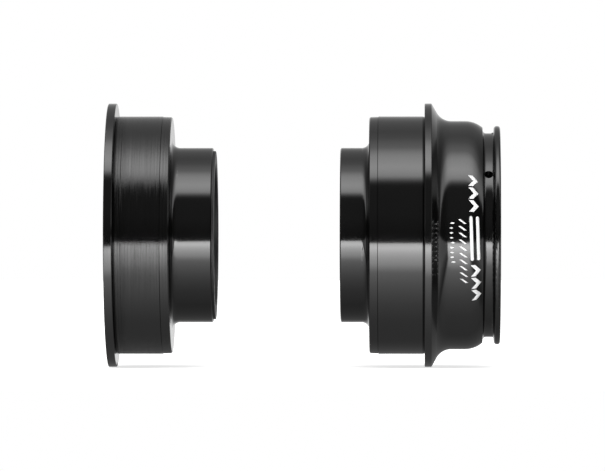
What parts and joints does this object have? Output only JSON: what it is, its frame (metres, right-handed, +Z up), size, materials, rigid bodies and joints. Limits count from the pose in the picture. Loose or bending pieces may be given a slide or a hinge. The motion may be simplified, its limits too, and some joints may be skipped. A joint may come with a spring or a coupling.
{
  "type": "bottom bracket",
  "caption": "Press-fit bicycle bottom bracket: left and right black cups with sealed ball bearings that carry the crank spindle in an unthreaded, asymmetric frame shell.",
  "frame": {"origin": "on the spindle axis, in the plane where the right cup's flange meets the shell's face", "axes": "+X along the spindle axis, out of the shell on the drive side; +Y forwards; +Z up"},
  "size_m": [0.0758, 0.051, 0.051],
  "materials": {
    "anodised_black": "turned aluminium, glossy black anodised, with fine turning lines",
    "race_steel": "ground and honed bearing steel",
    "ball_steel": "polished bearing steel",
    "cage_nylon": "moulded glass-filled nylon, brown",
    "seal_rubber": "moulded black nitrile rubber, matt",
    "sleeve_nylon": "moulded black nylon, satin",
    "spring_steel": "rolled spring steel strip"
  },
  "bodies": {
    "right_cup_body": {"right_cup": "anodised_black", "right_bearing_outer_race": "race_steel", "right_bearing_inboard_seal": "seal_rubber", "right_bearing_outboard_seal": "seal_rubber", "right_neck_sleeve": "sleeve_nylon", "right_neck_lip_seal": "seal_rubber", "right_dust_seal": "seal_rubber"},
    "right_inner_race_body": {"right_bearing_inner_race": "race_steel"},
    "right_cage_body": {"right_bearing_cage": "cage_nylon", "right_bearing_balls": "ball_steel"},
    "left_cup_body": {"left_cup": "anodised_black", "left_bearing_outer_race": "race_steel", "left_bearing_inboard_seal": "seal_rubber", "left_bearing_outboard_seal": "seal_rubber", "left_neck_sleeve": "sleeve_nylon", "left_neck_lip_seal": "seal_rubber", "left_wave_washer": "spring_steel"},
    "left_inner_race_body": {"left_bearing_inner_race": "race_steel"},
    "left_cage_body": {"left_bearing_cage": "cage_nylon", "left_bearing_balls": "ball_steel"}
  },
  "joints": [
    {"name": "left_cup_slide", "type": "slide", "parent": "right_cup_body", "child": "left_cup_body", "axis": [-1, 0, 0], "range_m": [0, 0.01945]},
    {"name": "right_inner_race_spin", "type": "hinge", "parent": "right_cup_body", "child": "right_inner_race_body", "pos_m": [0, 0, 0], "axis": [1, 0, 0], "continuous": true},
    {"name": "right_cage_spin", "type": "hinge", "parent": "right_cup_body", "child": "right_cage_body", "pos_m": [0, 0, 0], "axis": [1, 0, 0], "continuous": true},
    {"name": "left_inner_race_spin", "type": "hinge", "parent": "left_cup_body", "child": "left_inner_race_body", "pos_m": [-0.05955, 0, 0], "axis": [1, 0, 0], "continuous": true},
    {"name": "left_cage_spin", "type": "hinge", "parent": "left_cup_body", "child": "left_cage_body", "pos_m": [-0.05955, 0, 0], "axis": [1, 0, 0], "continuous": true}
  ],
  "couplings": [
    {"joint": "right_cage_spin", "follows": "right_inner_race_spin", "ratio": 0.4488},
    {"joint": "left_cage_spin", "follows": "left_inner_race_spin", "ratio": 0.4488}
  ]
}
